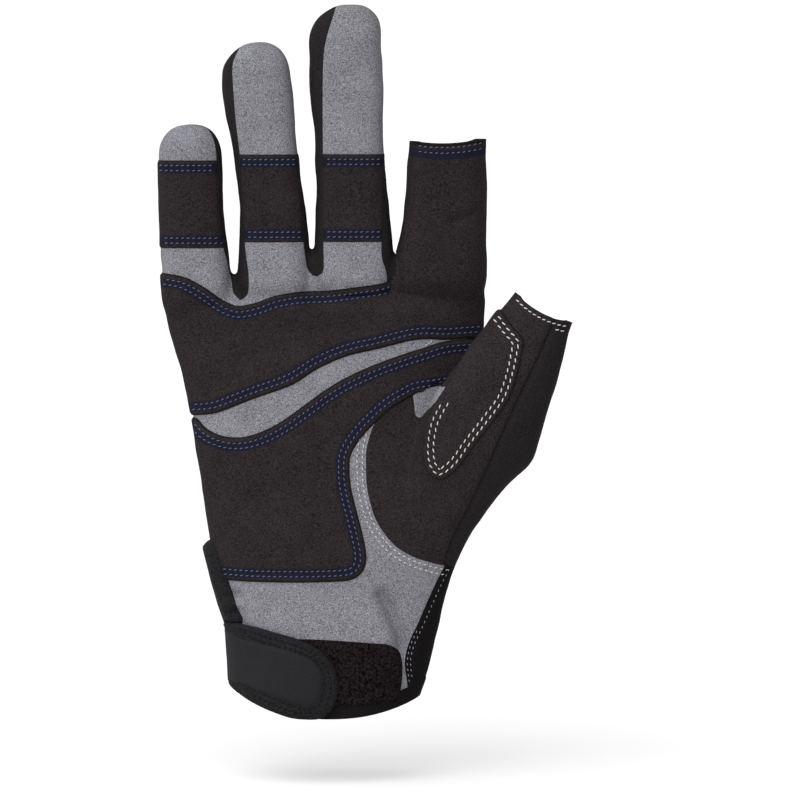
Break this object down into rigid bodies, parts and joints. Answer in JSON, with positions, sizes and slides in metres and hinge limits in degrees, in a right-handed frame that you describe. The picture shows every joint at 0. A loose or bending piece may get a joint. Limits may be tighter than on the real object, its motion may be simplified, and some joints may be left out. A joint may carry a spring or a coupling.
{
  "type": "sailing glove",
  "caption": "Right-hand sailing glove with full fingers except a cut-short index finger and thumb, padded palm, stretch back and a hook-and-loop wrist strap.",
  "frame": {"origin": "centre of the wrist opening, in the plane of the cuff's lower edge", "axes": "+Z from the cuff to the fingertips, -Y out of the palm towards the viewer of the picture, +X towards the thumb"},
  "size_m": [0.1377, 0.0625, 0.24],
  "materials": {
    "grey_suede": "matte suede",
    "black_suede": "matte suede",
    "black_stretch": "matte stretch knit",
    "loop_pile": "brushed loop pile",
    "hook_tape": "moulded hooks",
    "strap_cover": "matte moulded rubber"
  },
  "bodies": {
    "hand": {"palm_suede": "grey_suede", "wrist_side_panel": "black_stretch", "thumb_gusset": "black_suede", "thumb_outer": "black_stretch", "back_panel": "black_stretch", "palm_pad_upper": "black_suede", "palm_pad_lower": "black_suede", "thumb_patch_lower": "black_suede", "web_pinky_ring": "black_stretch", "web_ring_middle": "black_stretch", "web_middle_index": "black_stretch", "cuff_binding": "black_stretch", "wrist_elastic": "black_stretch", "loop_patch": "loop_pile", "strap_base": "black_stretch"},
    "strap": {"strap_hook": "hook_tape", "strap_band": "black_stretch", "strap_cover": "strap_cover"},
    "thumb": {"thumb_front": "black_suede", "thumb_back": "black_stretch", "thumb_hem": "black_stretch", "thumb_patch_upper": "black_suede"},
    "index": {"index_front_lower": "black_suede", "index_back_lower": "black_stretch", "index_side_lower_left": "black_stretch", "index_side_lower_right": "black_stretch", "index_hem": "black_stretch"},
    "pinky_lower": {"pinky_front_lower": "grey_suede", "pinky_back_lower": "black_stretch", "pinky_side_lower_left": "black_stretch", "pinky_side_lower_right": "black_stretch", "pinky_patch_lower": "black_suede"},
    "pinky_upper": {"pinky_front_upper": "grey_suede", "pinky_back_upper": "black_stretch", "pinky_side_upper": "black_stretch", "pinky_patch_upper": "black_suede"},
    "ring_lower": {"ring_front_lower": "grey_suede", "ring_back_lower": "black_stretch", "ring_side_lower_left": "black_stretch", "ring_side_lower_right": "black_stretch", "ring_patch_lower": "black_suede"},
    "ring_upper": {"ring_front_upper": "grey_suede", "ring_back_upper": "black_stretch", "ring_side_upper": "black_stretch", "ring_patch_upper": "black_suede"},
    "middle_lower": {"middle_front_lower": "grey_suede", "middle_back_lower": "black_stretch", "middle_side_lower_left": "black_stretch", "middle_side_lower_right": "black_stretch", "middle_patch_lower": "black_suede"},
    "middle_upper": {"middle_front_upper": "grey_suede", "middle_back_upper": "black_stretch", "middle_side_upper": "black_stretch", "middle_patch_upper": "black_suede"}
  },
  "joints": [
    {"name": "strap_peel", "type": "hinge", "parent": "hand", "child": "strap", "pos_m": [-0.0367, -0.003, 0.022], "axis": [0, 0, -1], "range_deg": [0, 150]},
    {"name": "pinky_base", "type": "hinge", "parent": "hand", "child": "pinky_lower", "pos_m": [-0.0432, -0.0136, 0.143], "axis": [1, 0, 0], "range_deg": [0, 80], "stiffness_Nm_per_rad": 0.02},
    {"name": "pinky_middle", "type": "hinge", "parent": "pinky_lower", "child": "pinky_upper", "pos_m": [-0.0432, -0.0136, 0.169], "axis": [1, 0, 0], "range_deg": [0, 90], "stiffness_Nm_per_rad": 0.02},
    {"name": "ring_base", "type": "hinge", "parent": "hand", "child": "ring_lower", "pos_m": [-0.0176, -0.0136, 0.147], "axis": [1, 0, 0], "range_deg": [0, 80], "stiffness_Nm_per_rad": 0.02},
    {"name": "ring_middle", "type": "hinge", "parent": "ring_lower", "child": "ring_upper", "pos_m": [-0.0176, -0.0136, 0.176], "axis": [1, 0, 0], "range_deg": [0, 90], "stiffness_Nm_per_rad": 0.02},
    {"name": "middle_base", "type": "hinge", "parent": "hand", "child": "middle_lower", "pos_m": [0.0094, -0.0136, 0.1485], "axis": [1, 0, 0], "range_deg": [0, 80], "stiffness_Nm_per_rad": 0.02},
    {"name": "middle_middle", "type": "hinge", "parent": "middle_lower", "child": "middle_upper", "pos_m": [0.0094, -0.0136, 0.1795], "axis": [1, 0, 0], "range_deg": [0, 90], "stiffness_Nm_per_rad": 0.02},
    {"name": "index_base", "type": "hinge", "parent": "hand", "child": "index", "pos_m": [0.0387, -0.0136, 0.1485], "axis": [1, 0, 0], "range_deg": [0, 80], "stiffness_Nm_per_rad": 0.02},
    {"name": "thumb_knuckle", "type": "hinge", "parent": "hand", "child": "thumb", "pos_m": [0.05794, -0.0384, 0.11018], "axis": [0.8846, 0, -0.4664], "range_deg": [0, 50], "stiffness_Nm_per_rad": 0.02}
  ]
}
